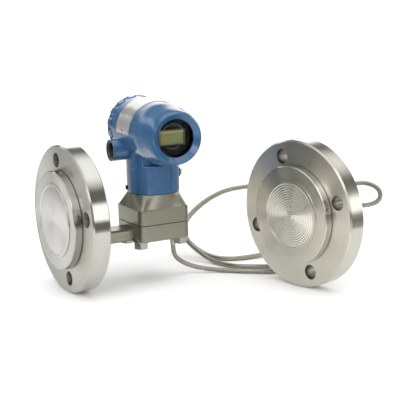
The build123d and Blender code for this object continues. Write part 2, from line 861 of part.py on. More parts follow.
module_front = web_front + module_depth
with BuildPart() as display_pillars:
    with BuildSketch(facing_front(module_front)):
        with Locations((-pillar_spacing / 2, 0), (pillar_spacing / 2, 0)):
            RegularPolygon(pillar_diameter / 2, 6, major_radius=False)
    extrude(amount=display_back - module_front)
display_pillars.part.label = "display_pillars"
export_step(display_pillars.part, "parts/display_pillars.step")

with BuildPart() as electronics_module:
    with BuildSketch(facing_front(web_front)):
        Circle(module_diameter / 2)
    extrude(amount=module_depth)
electronics_module.part.label = "electronics_module"
export_step(electronics_module.part, "parts/electronics_module.step")

# Terminal block on the rear side of the web, with barriers between its screws
terminal_front = web_rear + terminal_depth
with BuildPart() as terminal_block:
    with BuildSketch(facing_rear(web_rear)):
        RectangleRounded(terminal_width, terminal_height, barrier_height)
    extrude(amount=terminal_depth)
    with BuildSketch(facing_rear(terminal_front)):
        with GridLocations(terminal_pitch, 0, terminal_count + 1, 1):
            Rectangle(barrier_thickness, terminal_height)
        Rectangle(terminal_width, terminal_height, mode=Mode.INTERSECT)
    extrude(amount=barrier_height)
terminal_block.part.label = "terminal_block"
export_step(terminal_block.part, "parts/terminal_block.step")

with BuildPart() as terminal_screws:
    with BuildSketch(facing_rear(terminal_front)):
        with GridLocations(terminal_pitch, 0, terminal_count, 1):
            Circle(terminal_head_diameter / 2)
    extrude(amount=terminal_head_height)
    with BuildSketch(facing_rear(terminal_front + terminal_head_height)):
        with GridLocations(terminal_pitch, 0, terminal_count, 1):
            Rectangle(screw_slot_width, terminal_head_diameter)
    extrude(amount=-screw_slot_depth, mode=Mode.SUBTRACT)
terminal_screws.part.label = "terminal_screws"
export_step(terminal_screws.part, "parts/terminal_screws.step")

with BuildPart() as earth_screw:
    with BuildSketch(facing_rear(web_rear)):
        with Locations((0, earth_screw_rise)):
            Circle(earth_screw_diameter / 2)
    extrude(amount=earth_screw_height)
earth_screw.part.label = "earth_screw"
export_step(earth_screw.part, "parts/earth_screw.step")
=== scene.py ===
import math

import bpy
from mathutils import Matrix, Vector


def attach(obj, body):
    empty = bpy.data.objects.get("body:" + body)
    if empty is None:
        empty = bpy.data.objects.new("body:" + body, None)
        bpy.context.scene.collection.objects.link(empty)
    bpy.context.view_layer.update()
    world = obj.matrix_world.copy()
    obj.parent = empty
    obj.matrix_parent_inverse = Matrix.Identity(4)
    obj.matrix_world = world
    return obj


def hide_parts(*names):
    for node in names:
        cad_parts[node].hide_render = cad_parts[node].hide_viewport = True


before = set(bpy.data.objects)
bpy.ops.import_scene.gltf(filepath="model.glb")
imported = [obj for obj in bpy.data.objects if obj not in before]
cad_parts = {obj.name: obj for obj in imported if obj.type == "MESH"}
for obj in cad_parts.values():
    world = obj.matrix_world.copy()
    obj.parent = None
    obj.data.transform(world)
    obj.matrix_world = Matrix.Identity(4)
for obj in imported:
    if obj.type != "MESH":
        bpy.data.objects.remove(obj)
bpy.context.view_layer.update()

mm = 0.001
print("frame loaded")


# Camera, at the photograph's angle and distance

view = {
    "place": (-0.6323, -1.5040, 0.3631), "azimuth": -29.0, "elevation": 11.9, "roll": 1.32,
    "lens": 117.0, "sensor": 36, "nearest": 0.05, "farthest": 50,
}
azimuth = math.radians(view["azimuth"])
elevation = math.radians(view["elevation"])
roll = math.radians(view["roll"])
level = Vector((math.cos(azimuth), math.sin(azimuth), 0))
back = Vector((
    math.sin(azimuth) * math.cos(elevation),
    -math.cos(azimuth) * math.cos(elevation),
    math.sin(elevation),
))
upright = back.cross(level)
right = level * math.cos(roll) - upright * math.sin(roll)
above = level * math.sin(roll) + upright * math.cos(roll)
cameraData = bpy.data.cameras.new("camera")
cameraData.lens = view["lens"]
cameraData.sensor_width = view["sensor"]
cameraData.clip_start = view["nearest"]
cameraData.clip_end = view["farthest"]
camera = bpy.data.objects.new("camera", cameraData)
bpy.context.collection.objects.link(camera)
turn = Matrix((right, above, back)).transposed().to_4x4()
camera.matrix_world = Matrix.Translation(Vector(view["place"])) @ turn
bpy.context.scene.camera = camera
bpy.context.scene.view_settings.view_transform = "Standard"
bpy.context.scene.view_settings.look = "None"
print("camera placed")


# Small helpers for materials

def colour(code, tone=1.0):
    values = [int(code[i:i + 2], 16) / 255 for i in (0, 2, 4)]
    linear = [v / 12.92 if v <= 0.04045 else ((v + 0.055) / 1.055) ** 2.4 for v in values]
    return (*(v * tone for v in linear), 1.0)


def setInputs(tree, node, inputs):
    # An input is given by its name or its place, and takes a value or a link from another node
    for name, value in inputs.items():
        if isinstance(name, int):
            socket = node.inputs[name]
        else:
            socket = next(each for each in node.inputs if each.enabled and each.name == name)
        if isinstance(value, bpy.types.NodeSocket):
            tree.links.new(value, socket)
        else:
            socket.default_value = value


def addNode(tree, kind, settings=None, inputs=None, output=None):
    # Gives the output that is asked for, or else the first one in use
    node = tree.nodes.new("ShaderNode" + kind)
    for name, value in (settings or {}).items():
        setattr(node, name, value)
    setInputs(tree, node, inputs or {})
    if output:
        return node.outputs[output]
    return next(each for each in node.outputs if each.enabled)


def newMaterial(name, shader):
    material = bpy.data.materials.new(name)
    material.use_nodes = True
    tree = material.node_tree
    principled = tree.nodes["Principled BSDF"]
    setInputs(tree, principled, shader)
    return material, tree, principled


def setStops(tones, stops):
    # Gives the ramp behind an output its (position, grey) stops
    elements = tones.node.color_ramp.elements
    while len(elements) < len(stops):
        elements.new(0.5)
    for element, (position, grey) in zip(elements, stops):
        element.position = position
        element.color = (grey, grey, grey, 1)


# Settings that many nodes share
times, plus, minus = {"operation": "MULTIPLY"}, {"operation": "ADD"}, {"operation": "SUBTRACT"}
dot, blend = {"operation": "DOT_PRODUCT"}, {"data_type": "RGBA"}


def between(tree, value, low, high, soft):
    # 1 inside the span and 0 outside it
    rise = addNode(tree, "MapRange", inputs={"Value": value, "From Min": low - soft, "From Max": low})
    fall = addNode(tree, "MapRange", inputs={
        "Value": value, "From Min": high, "From Max": high + soft, "To Min": 1.0, "To Max": 0.0,
    })
    return addNode(tree, "Math", times, {0: rise, 1: fall})


def darkenBy(tree, shade, share):
    keep = addNode(tree, "Math", minus, {0: 1.0, 1: share})
    return addNode(tree, "VectorMath", {"operation": "SCALE"}, {0: shade, "Scale": keep})


# Where the two seals stand and how the housing is turned

processPlace, processTurn = Vector((0, 0, 0)), 0.0
remotePlace, remoteTurn = Vector((0.261, -0.145, 0.0)), math.radians(11.7)
remoteAxis = Vector((math.cos(remoteTurn), math.sin(remoteTurn), 0))
swivel = math.radians(4.5)
housingSide = Vector((math.cos(swivel), -math.sin(swivel), 0))
housingFront = Vector((-math.sin(swivel), -math.cos(swivel), 0))
upward = Vector((0, 0, 1))
neckFoot = Vector((0.131, 0, 0))
coverCentre = neckFoot + upward * 0.103
entryCentre = coverCentre - housingFront * 0.010 - upward * 0.0235


# Machined stainless steel: turned on a lathe, so its gloss spreads across the rings; wedges of painted light
# and shade stand on its faces, the rims take a painted shade, and the rims mirror the room in bands
turning = {
    # Real turning lines are a tenth of this width and would not show
    "lines": {"Scale": 1 / (2.4 * mm), "Detail": 3.0, "Roughness": 0.55},
    "clouds": {"Scale": 1 / (33 * mm), "Detail": 4.0, "Roughness": 0.55},
    "lineTone": {"To Min": 0.86, "To Max": 1.1},
    "cloudTone": {"To Min": 0.9, "To Max": 1.08},
    "cloudGloss": {"To Min": 0.85, "To Max": 1.15},
    "holes": (64 * mm, 88.5 * mm), "holeSoft": 0.3 * mm, "holeRoughness": 0.25,
    "holeDepth": {"From Min": 2 * mm, "From Max": 8 * mm},
    "seam": (-1 * mm, 0.2 * mm), "seamSoft": 0.2 * mm, "seamShade": 0.9,
}


def turnedSteel(name, code, place, spin, roughness, rimPaintedShade, paintedWedges, holeShadeTones=None, seam=False):
    # roughness goes from rim to face, the rim tone is a painted shade, the wedges hold (degrees from the
    # top, tone) pairs of painted light and shade, clockwise from the front, and the hole tones are painted
    # shade on a bolt hole's wall, from its mouth to its depth
    material, tree, principled = newMaterial(name, {
        "Metallic": 1.0, "Anisotropic": 1.0, "Anisotropic Rotation": 0.25,
    })
    where = addNode(tree, "Mapping", {"vector_type": "TEXTURE"}, {
        "Vector": addNode(tree, "TexCoord", output="Object"), "Location": place, "Rotation": (0, 0, spin),
    })
    parts = addNode(tree, "SeparateXYZ", inputs={"Vector": where}).node.outputs
    along = parts["X"]
    flatPart = addNode(tree, "CombineXYZ", inputs={"Y": parts["Y"], "Z": parts["Z"]})
    radius = addNode(tree, "VectorMath", {"operation": "LENGTH"}, {0: flatPart})
    lines = addNode(tree, "TexNoise", inputs={
        "Vector": addNode(tree, "CombineXYZ", inputs={"X": along, "Y": radius}), **turning["lines"],
    })
    cloud = addNode(tree, "TexNoise", inputs={"Vector": where, **turning["clouds"]})
    facing = addNode(tree, "VectorMath", dot, {
        0: addNode(tree, "NewGeometry", output="Normal"), 1: (math.cos(spin), math.sin(spin), 0),
    })
    flat = addNode(tree, "Math", {"operation": "ABSOLUTE"}, {0: facing})
    aside = addNode(tree, "Math", times, {0: parts["Y"], 1: -1.0})
    angle = addNode(tree, "Math", {"operation": "ARCTAN2"}, {0: aside, 1: parts["Z"]})
    # painted light and shade: the faces' tone by angle round the axis
    paintedWedge = addNode(tree, "ValToRGB", inputs={
        "Fac": addNode(tree, "MapRange", inputs={"Value": angle, "From Min": -math.pi, "From Max": math.pi}),
    })
    setStops(paintedWedge, [(0.5 + degrees / 360, grey) for degrees, grey in paintedWedges])
    tone = addNode(tree, "Math", times, {
        0: addNode(tree, "MapRange", inputs={"Value": lines, **turning["lineTone"]}),
        1: addNode(tree, "MapRange", inputs={"Value": cloud, **turning["cloudTone"]}),
    })
    # painted light and shade: the rims take the painted rim shade, the faces the painted wedges
    tone = addNode(tree, "Math", times, {
        0: tone, 1: addNode(tree, "MapRange", inputs={"Value": flat, "To Min": rimPaintedShade, "To Max": paintedWedge}),
    })
    gloss = addNode(tree, "Math", times, {
        0: addNode(tree, "MapRange", inputs={"Value": flat, "To Min": roughness[0], "To Max": roughness[1]}),
        1: addNode(tree, "MapRange", inputs={"Value": cloud, **turning["cloudGloss"]}),
    })
    shade = addNode(tree, "VectorMath", {"operation": "SCALE"}, {0: colour(code)[:3], "Scale": tone})
    # painted shade on the walls of the bolt holes, its tone set by depth
    if holeShadeTones:
        wall = addNode(tree, "Math", times, {
            0: between(tree, radius, *turning["holes"], turning["holeSoft"]),
            1: addNode(tree, "MapRange", inputs={"Value": flat, "To Min": 1.0, "To Max": 0.0}),
        })
        deep = addNode(tree, "MapRange", inputs={
            "Value": along, **turning["holeDepth"], "To Min": 1 - holeShadeTones[0], "To Max": 1 - holeShadeTones[1],
        })
        shade = darkenBy(tree, shade, addNode(tree, "Math", times, {0: wall, 1: deep}))
        rougher = addNode(tree, "Math", times, {0: wall, 1: turning["holeRoughness"]})
        gloss = addNode(tree, "Math", plus, {0: gloss, 1: rougher})
    # painted shade: a dark line in the groove where the raised disc stands on the flange
    if seam:  # the dark line where the raised disc stands on the flange
        foot = addNode(tree, "Math", times, {
            0: between(tree, along, *turning["seam"], turning["seamSoft"]),
            1: addNode(tree, "MapRange", inputs={"Value": flat, "To Min": 1.0, "To Max": 0.9}),
        })
        shade = darkenBy(tree, shade, addNode(tree, "Math", times, {0: foot, 1: turning["seamShade"]}))
    tangent = addNode(tree, "Tangent", {"direction_type": "RADIAL", "axis": "X"})
    setInputs(tree, principled, {"Base Color": shade, "Roughness": gloss, "Tangent": tangent})
    return material


# Cast or blasted stainless steel: a fine even grain with no direction
blasting = {
    # Real blast marks are 0.1 mm wide and would not show
    "marks": {"Scale": 1 / (0.7 * mm), "Detail": 3.0, "Roughness": 0.55},
    "clouds": {"Scale": 1 / (22 * mm), "Detail": 4.0, "Roughness": 0.55},
    "thinTone": 0.8, "cloudGloss": (0.85, 1.15), "strength": 0.7,
}


def blastedSteel(name, code, roughness, depth=0.04 * mm, edge=0.0):
    material, tree, principled = newMaterial(name, {"Metallic": 1.0, "Roughness": roughness})
    place = addNode(tree, "TexCoord", output="Object")
    marks = addNode(tree, "TexNoise", inputs={"Vector": place, **blasting["marks"]})
    cloud = addNode(tree, "TexNoise", inputs={"Vector": place, **blasting["clouds"]})
    shade = addNode(tree, "Mix", blend, {
        "Factor": cloud, "A": colour(code, blasting["thinTone"]), "B": colour(code),
    })
    low, high = blasting["cloudGloss"]
    gloss = addNode(tree, "MapRange", inputs={
        "Value": cloud, "To Min": roughness * low, "To Max": roughness * high,
    })
    relief = {"Height": marks, "Distance": depth, "Strength": blasting["strength"]}
    if edge:  # cast and pressed edges are never quite sharp
        relief["Normal"] = addNode(tree, "Bevel", {"samples": 6}, {"Radius": edge})
    setInputs(tree, principled, {
        "Base Color": shade, "Roughness": gloss, "Normal": addNode(tree, "Bump", inputs=relief),
    })
    return material


# Nameplate steel: rolled and satin finished, with a painted olive reflection in a band along its flank
plating = {
    "marks": {"Scale": 1 / (0.7 * mm), "Detail": 3.0, "Roughness": 0.55},  # coarser than real, to show
    "relief": {"Distance": 0.01 * mm, "Strength": 0.7},
    "ragged": {"Scale": 1 / (17 * mm), "Detail": 4.0, "Roughness": 0.55}, "raggedHeight": 6 * mm,
    "band": (25 * mm, 29.5 * mm), "bandSoft": 3.5 * mm, "bandShare": 0.6, "paintedReflection": "6f7154",
}


def plateSteel(name, code, roughness):
    material, tree, principled = newMaterial(name, {"Metallic": 1.0, "Roughness": roughness})
    place = addNode(tree, "TexCoord", output="Object")
    height = addNode(tree, "SeparateXYZ", inputs={"Vector": place}, output="Z")
    height = addNode(tree, "Math", minus, {0: height, 1: coverCentre.z})
    ragged = addNode(tree, "TexNoise", inputs={"Vector": place, **plating["ragged"]})
    ragged = addNode(tree, "Math", minus, {0: ragged, 1: 0.5})
    ragged = addNode(tree, "Math", times, {0: ragged, 1: plating["raggedHeight"]})
    height = addNode(tree, "Math", plus, {0: height, 1: ragged})
    # painted reflection: an olive band along the plate's flank, with a ragged edge
    band = between(tree, height, *plating["band"], plating["bandSoft"])
    marks = addNode(tree, "TexNoise", inputs={"Vector": place, **plating["marks"]})
    setInputs(tree, principled, {
        "Base Color": addNode(tree, "Mix", blend, {
            "Factor": addNode(tree, "Math", times, {0: band, 1: plating["bandShare"]}),
            "A": colour(code), "B": colour(plating["paintedReflection"]),
        }),
        "Normal": addNode(tree, "Bump", inputs={"Height": marks, **plating["relief"]}),
    })
    return material


# Powder coat: gloss with a slight orange peel, a little lighter where it is thin, and its
# blue drifts a little; inside the mouths of the conduit bosses it is dark brown and rougher
coat = {
    "peel": {"Scale": 1 / (2.4 * mm), "Detail": 2.0, "Roughness": 0.55},
    "relief": {"Distance": 0.1 * mm, "Strength": 0.5}, "edge": 1.4 * mm,
    "clouds": {"Scale": 1 / (33 * mm), "Detail": 4.0, "Roughness": 0.55},
    "thinTone": 0.84, "cloudGloss": (0.85, 1.2),
    "patches": {"Scale": 1 / (25 * mm), "Detail": 2.0, "Roughness": 0.55},
    "patchShare": {"From Min": 0.5, "From Max": 0.8, "To Max": 0.3},
    "tints": ((0.0, "1f6f8c"), (0.7, "4a57a0")),  # how far the pattern is moved aside, colour
    "mouthRadius": 13.4 * mm, "mouthFrom": 39.5 * mm, "darkMouth": "3b3a33", "darkMouthRoughness": 0.3,
}


def mouthMask(tree, place):
    # 1 inside the conduit bosses' mouths, by the distance from their common axis and along it
    offset = addNode(tree, "VectorMath", minus, {0: place, 1: entryCentre})
    along = addNode(tree, "VectorMath", dot, {0: offset, 1: housingSide})
    length = addNode(tree, "VectorMath", {"operation": "LENGTH"}, {0: offset})
    squares = [addNode(tree, "Math", {"operation": "POWER"}, {0: each, 1: 2.0}) for each in (length, along)]
    radial = addNode(tree, "Math", minus, {0: squares[0], 1: squares[1]})
    radial = addNode(tree, "Math", {"operation": "MAXIMUM"}, {0: radial, 1: 0.0})
    radial = addNode(tree, "Math", {"operation": "SQRT"}, {0: radial})
    outward = addNode(tree, "Math", {"operation": "ABSOLUTE"}, {0: along})
    return addNode(tree, "Math", times, {
        0: between(tree, radial, -1.0, coat["mouthRadius"], 0.2 * mm),
        1: between(tree, outward, coat["mouthFrom"], 1.0, 0.4 * mm),
    })


def powderCoat(name, code, roughness=0.26, darkMouths=False):
    material, tree, principled = newMaterial(name, {
        "Coat Weight": 0.5, "Coat Roughness": 0.06, "IOR": 1.5,
    })
    place = addNode(tree, "TexCoord", output="Object")
    peel = addNode(tree, "TexNoise", inputs={"Vector": place, **coat["peel"]})
    cloud = addNode(tree, "TexNoise", inputs={"Vector": place, **coat["clouds"]})
    shade = addNode(tree, "Mix", blend, {
        "Factor": cloud, "A": colour(code, coat["thinTone"]), "B": colour(code),
    })
    for shift, tint in coat["tints"]:
        aside = addNode(tree, "VectorMath", plus, {0: place, 1: (shift, shift, shift)})
        patch = addNode(tree, "TexNoise", inputs={"Vector": aside, **coat["patches"]})
        share = addNode(tree, "MapRange", inputs={"Value": patch, **coat["patchShare"]})
        shade = addNode(tree, "Mix", blend, {"Factor": share, "A": shade, "B": colour(tint)})
    low, high = coat["cloudGloss"]
    gloss = addNode(tree, "MapRange", inputs={
        "Value": cloud, "To Min": roughness * low, "To Max": roughness * high,
    })
    if darkMouths:
        darkMouth = mouthMask(tree, place)
        shade = addNode(tree, "Mix", blend, {"Factor": darkMouth, "A": shade, "B": colour(coat["darkMouth"])})
        rougher = addNode(tree, "Math", times, {0: darkMouth, 1: coat["darkMouthRoughness"]})
        gloss = addNode(tree, "Math", plus, {0: gloss, 1: rougher})
    soft = addNode(tree, "Bevel", {"samples": 6}, {"Radius": coat["edge"]})
    relief = addNode(tree, "Bump", inputs={"Height": peel, "Normal": soft, **coat["relief"]})
    setInputs(tree, principled, {"Base Color": shade, "Roughness": gloss, "Normal": relief})
    return material


# Moulded plastic or rubber: a fine matt skin
moulding = {
    # Real spark marks of a mould are 0.1 mm wide and would not show
    "marks": {"Scale": 1 / (1.1 * mm), "Detail": 3.0, "Roughness": 0.55},
    "relief": {"Distance": 0.05 * mm, "Strength": 0.5}, "thinTone": 0.75,
}


def mouldedSkin(name, code, roughness, sheen=0.4):
    material, tree, principled = newMaterial(name, {"Roughness": roughness, "Specular IOR Level": sheen})
    place = addNode(tree, "TexCoord", output="Object")
    marks = addNode(tree, "TexNoise", inputs={"Vector": place, **moulding["marks"]})
    setInputs(tree, principled, {
        "Base Color": addNode(tree, "Mix", blend, {
            "Factor": marks, "A": colour(code, moulding["thinTone"]), "B": colour(code),
        }),
        "Normal": addNode(tree, "Bump", inputs={"Height": marks, **moulding["relief"]}),
    })
    return material


# Display film: a grey-green reflective panel, with a brown band where its film ends,
# a painted highlight line along its top edge and a darker left edge
film = {
    "shades": ("646b40", "7d8352"),
    "clouds": {"Scale": 1 / (17 * mm), "Detail": 4.0, "Roughness": 0.55},
    "marks": {"Scale": 1 / (0.5 * mm), "Detail": 4.0, "Roughness": 0.55},
    "relief": {"Distance": 0.02 * mm, "Strength": 0.4},
    # from, to and how soft, share, colour
    "brown": ((-12 * mm, -10 * mm, 1.2 * mm), 0.55, "a0682a"),
    # painted highlight along the top edge
    "pale": ((6 * mm, 7.2 * mm, 0.8 * mm), 0.45, "b6b184"),
    "dark": ((-1.0, -16.5 * mm, 1.5 * mm), 0.5, "3c3f26"),
}


def displayFilm():
    material, tree, principled = newMaterial("plastic_display_film", {
        "Roughness": 0.4, "Specular IOR Level": 0.15,
    })
    place = addNode(tree, "TexCoord", output="Object")
    offset = addNode(tree, "VectorMath", minus, {0: place, 1: coverCentre})
    across = addNode(tree, "VectorMath", dot, {0: offset, 1: housingSide})
    height = addNode(tree, "SeparateXYZ", inputs={"Vector": offset}, output="Z")
    shade = addNode(tree, "Mix", blend, {
        "Factor": addNode(tree, "TexNoise", inputs={"Vector": place, **film["clouds"]}),
        "A": colour(film["shades"][0]), "B": colour(film["shades"][1]),
    })
    for coordinate, band in ((across, "brown"), (height, "pale"), (across, "dark")):
        span, share, code = film[band]
        factor = addNode(tree, "Math", times, {0: between(tree, coordinate, *span), 1: share})
        shade = addNode(tree, "Mix", blend, {"Factor": factor, "A": shade, "B": colour(code)})
    marks = addNode(tree, "TexNoise", inputs={"Vector": place, **film["marks"]})
    relief = addNode(tree, "Bump", inputs={"Height": marks, **film["relief"]})
    setInputs(tree, principled, {"Base Color": shade, "Normal": relief})
    return material


# The turned faces, each with the wedges of painted light and shade on it
turnedFaces = {
    "processFlange": {
        "name": "steel_turned_flange", "code": "e8e7dd", "place": processPlace, "spin": processTurn,
        "roughness": (0.15, 0.3), "rimPaintedShade": 0.64, "holeShadeTones": (0.75, 0.2),
        "paintedWedges": [
            (-180, 0.6), (-90, 0.5), (-45, 0.8), (0, 0.6), (45, 1.0), (90, 0.6), (180, 0.6),
        ],
    },
    "remoteFlange": {
        "name": "steel_turned_remote_flange", "code": "f8f4e7", "place": remotePlace, "spin": remoteTurn,
        "roughness": (0.15, 0.3), "rimPaintedShade": 0.57, "holeShadeTones": (0.2, 0.95),
        "paintedWedges": [
            (-180, 0.75), (-120, 1.0), (-30, 1.0), (-10, 0.5), (20, 0.5), (45, 0.9), (120, 0.6),
            (180, 0.75),
        ],
    },
    "processSeal": {
        "name": "steel_turned_seal", "code": "f9f8f1", "place": processPlace, "spin": processTurn,
        "roughness": (0.14, 0.26), "rimPaintedShade": 0.55, "seam": True,
        "paintedWedges": [
            (-180, 0.55), (-90, 0.5), (0, 0.6), (30, 1.0), (60, 0.9), (90, 0.5), (180, 0.55),
        ],
    },
    "remoteSeal": {
        "name": "steel_turned_remote_seal", "code": "f4f0e4", "place": remotePlace, "spin": remoteTurn,
        "roughness": (0.14, 0.26), "rimPaintedShade": 0.7, "seam": True,
        "paintedWedges": [
            (-180, 0.7), (-120, 1.0), (-60, 0.9), (-15, 0.55), (15, 0.6), (45, 0.9), (90, 0.7),
            (180, 0.7),
        ],
    },
    "processFoil": {
        "name": "steel_foil_smooth", "code": "e6e5e1", "place": processPlace, "spin": processTurn,
        "roughness": (0.2, 0.22), "rimPaintedShade": 1.0,
        "paintedWedges": [
            (-180, 0.7), (-90, 0.65), (0, 0.8), (45, 1.0), (120, 0.55), (180, 0.7),
        ],
    },
    "remoteFoil": {
        "name": "steel_foil_corrugated", "code": "f3f0e5", "place": remotePlace, "spin": remoteTurn,
        "roughness": (0.22, 0.27), "rimPaintedShade": 1.0,
        "paintedWedges": [
            (-180, 0.9), (-90, 1.0), (0, 0.9), (90, 1.0), (180, 0.9),
        ],
    },
}
materials = {face: turnedSteel(**facts) for face, facts in turnedFaces.items()}
materials |= {
    "block": blastedSteel("steel_blasted_block", "979587", 0.36, edge=0.9 * mm),
    "bolt": blastedSteel("steel_plain_bolts", "b5b3ab", 0.3),
    "blackSteel": blastedSteel("steel_black_oxide", "2a2a2c", 0.4),
    "brass": blastedSteel("brass_nickelled", "c4b88e", 0.3),
    "plate": plateSteel("steel_polished_plate", "f2f1ee", 0.42),
    "paint": powderCoat("aluminium_blue_powder_coat", "24537b", darkMouths=True),
    "plug": powderCoat("aluminium_black_paint", "24262b"),
    "rubber": mouldedSkin("rubber_black", "1d1d1f", 0.6),
    "bezel": mouldedSkin("plastic_black_bezel", "0d0d0d", 0.35, sheen=0.05),
    "moulding": mouldedSkin("plastic_grey_moulding", "4b4f52", 0.45),
    "film": displayFilm(),
}
# Window glass: clear float glass with no colour of its own
materials["glass"] = newMaterial("glass_clear_window", {
    "Base Color": (1, 1, 1, 1), "Roughness": 0.0, "IOR": 1.16, "Transmission Weight": 1.0,
})[0]

finishes = {
    "process_flange": "processFlange", "remote_flange": "remoteFlange",
    "process_seal_body": "processSeal", "remote_seal_body": "remoteSeal",
    "process_diaphragm": "processFoil", "remote_diaphragm": "remoteFoil",
    "connecting_arm": "block", "pressure_block": "block", "sensor_module": "block",
    "module_gasket": "rubber", "block_bolts": "bolt", "block_washers": "bolt",
    "capillary_adapter": "bolt", "remote_socket": "bolt", "fill_plug": "bolt",
    "neck_ring": "rubber", "front_cover_ring": "rubber", "rear_cover_ring": "rubber",
    "electronics_housing": "paint", "front_cover": "paint", "rear_cover": "paint",
    "lock_screw": "blackSteel", "ground_screw": "bolt", "conduit_plug": "plug",
    "nameplate": "plate", "plate_screws": "bolt", "glass_retainer": "blackSteel",
    "cover_glass": "glass", "display_bezel": "bezel", "display_panel": "film",
    "display_pillars": "bolt", "electronics_module": "moulding",
    "terminal_block": "moulding", "terminal_screws": "brass", "earth_screw": "brass",
}
for node, finish in finishes.items():
    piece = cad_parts[node]
    piece.data.materials.clear()
    piece.data.materials.append(materials[finish])
print("materials on", len(finishes), "pieces")


def newPiece(name, vertices, faces, material, smooth=False):
    mesh = bpy.data.meshes.new(name)
    mesh.from_pydata(vertices, [], faces)
    if smooth:
        mesh.shade_smooth()
    mesh.materials.append(material)
    piece = bpy.data.objects.new(name, mesh)
    bpy.context.collection.objects.link(piece)
    return piece


# Capillary: stainless armour wound round the line, along its route

route = [
    (156.5, -3.5, -55), (156.5, -3.5, -64), (161, -4, -73), (172, -6, -82), (190, -13, -89),
    (213, -31, -92), (243, -59, -92),
    (276, -82, -92), (314, -84, -90), (346, -62, -80), (366, -28, -62),
    (372, 10, -38), (362, 44, -17),
    (340, 66, -5), (314, 76, -7), (286, 80, -9), (256, 84, -21),
    (227, 82, -39), (211, 70, -54), (209, 56, -68),
    (218, 44, -80), (226, 25, -90), (230, 0, -92), (239, -23, -92),
    (260, -41, -92), (292, -58, -92),
    (322, -50, -88), (344, -26, -76), (358, 6, -56), (362, 40, -34),
    (355, 70, -18), (338, 88, -10),
    (314, 96, -12), (290, 99, -16), (263, 101, -28), (236, 98, -45),
    (221, 86, -58), (218, 72, -71), (225, 60, -81), (233, 45, -89),
    (242, 26, -92), (257, 12, -92),
    (281, 7, -92), (314, 4, -90), (346, 6, -84), (374, -4, -68),
    (388, -22, -44), (387, -42, -18), (396, -55, 1),
    (411, -64, 10), (424, -79, 11), (427, -99, 6), (416, -118, -2),
    (396, -130, -6), (372, -130, -6),
]
lastStretch = {"end": 0.059, "straight": 0.025}  # into the remote socket, along the seal's axis
socketTip = remotePlace + remoteAxis * lastStretch["end"]
routePoints = [Vector(point) * mm for point in route]
routePoints += [socketTip + remoteAxis * lastStretch["straight"], socketTip]


def routeLine(points):
    data = bpy.data.curves.new("capillary_route", "CURVE")
    data.dimensions = "3D"
    data.resolution_u = 24
    spline = data.splines.new("NURBS")
    spline.points.add(len(points) - 1)
    for point, spot in zip(spline.points, points):
        point.co = (*spot, 1)
    spline.order_u = 3
    spline.use_endpoint_u = True
    line = bpy.data.objects.new("capillary_route", data)
    bpy.context.collection.objects.link(line)
    bpy.context.view_layer.update()
    mesh = bpy.data.meshes.new_from_object(line.evaluated_get(bpy.context.evaluated_depsgraph_get()))
    spots = [vertex.co.copy() for vertex in mesh.vertices]
    bpy.data.objects.remove(line)
    return spots


def evenSteps(spots, step):
    result = [spots[0]]
    left = step
    for start, end in zip(spots, spots[1:]):
        run = (end - start).length
        done = 0.0
        while run - done >= left:
            done += left
            result.append(start.lerp(end, done / run))
            left = step
        left -= run - done
    result.append(spots[-1])
    return result


# Armour strip of stainless steel: bright, with a dark groove between its turns
armour = {"diameter": 6.4 * mm, "pitch": 2.4 * mm, "groove": 0.32 * mm, "sides": 14, "step": 0.8 * mm}
materials["armour"] = blastedSteel("steel_armour_strip", "9d9a8d", 0.27, 0.02 * mm)


def woundTube(name, spots, facts, material):
    rings = evenSteps(spots, facts["step"])
    sides = facts["sides"]
    vertices, faces = [], []
    forward = (rings[1] - rings[0]).normalized()
    across = forward.orthogonal().normalized()
    travelled = 0.0
    for number, spot in enumerate(rings):
        ahead = rings[min(number + 1, len(rings) - 1)] - rings[max(number - 1, 0)]
        direction = ahead.normalized()
        across = (across - direction * across.dot(direction)).normalized()
        other = direction.cross(across)
        if number:
            travelled += (spot - rings[number - 1]).length
        for side in range(sides):
            angle = 2 * math.pi * side / sides
            phase = 2 * math.pi * travelled / facts["pitch"] + angle
            radius = facts["diameter"] / 2 - facts["groove"] * (0.5 + 0.5 * math.cos(phase)) ** 2
            vertices.append(spot + (across * math.cos(angle) + other * math.sin(angle)) * radius)
    for ring in range(len(rings) - 1):
        for side in range(sides):
            after = (side + 1) % sides
            faces.append((
                ring * sides + side, ring * sides + after,
                (ring + 1) * sides + after, (ring + 1) * sides + side,
            ))
    faces.append(tuple(reversed(range(sides))))
    faces.append(tuple(range((len(rings) - 1) * sides, len(rings) * sides)))
    return newPiece(name, vertices, faces, material, smooth=True), rings


line = routeLine(routePoints)
tube, tubePath = woundTube("capillary_armour", line, armour, materials["armour"])
lineLength = sum((b - a).length for a, b in zip(line, line[1:]))
print("capillary length", round(lineLength, 4))
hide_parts("capillary")
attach(tube, "base")
print("capillary done")


# Small pieces that the solids leave out, each riding on the body that it sits on

def addPiece(name, vertices, faces, material, body, slot, smooth=True):
    piece = newPiece(name, vertices, faces, material, smooth)
    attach(piece, body)
    return piece


def revolved(centre, axis, profile, sides, ripple=0.0, ripples=0, middle=0.0, half=180.0):
    # A closed profile of (along, radius) pairs turned round the axis, all round or half degrees
    # each way from the middle angle
    across = upward if abs(axis.z) < 0.9 else Vector((1, 0, 0))
    other = axis.cross(across)
    vertices, faces = [], []
    count = len(profile)
    closed = half == 180.0
    rows = sides if closed else sides + 1
    depth = sum(along for along, radius in profile) / count
    for row in range(rows):
        angle = math.radians(middle - half + 2 * half * row / sides)
        swell = 1 + ripple * math.sin(ripples * angle)
        direction = across * math.cos(angle) + other * math.sin(angle)
        for along, radius in profile:
            vertices.append(centre + axis * (depth + (along - depth) * swell) + direction * radius)
    if not closed:
        faces += [tuple(range(count)), tuple(range(sides * count, rows * count))[::-1]]
    for row in range(sides):
        following = (row + 1) % rows
        for step in range(count):
            after = (step + 1) % count
            faces.append((
                row * count + step, row * count + after,
                following * count + after, following * count + step,
            ))
    return vertices, faces


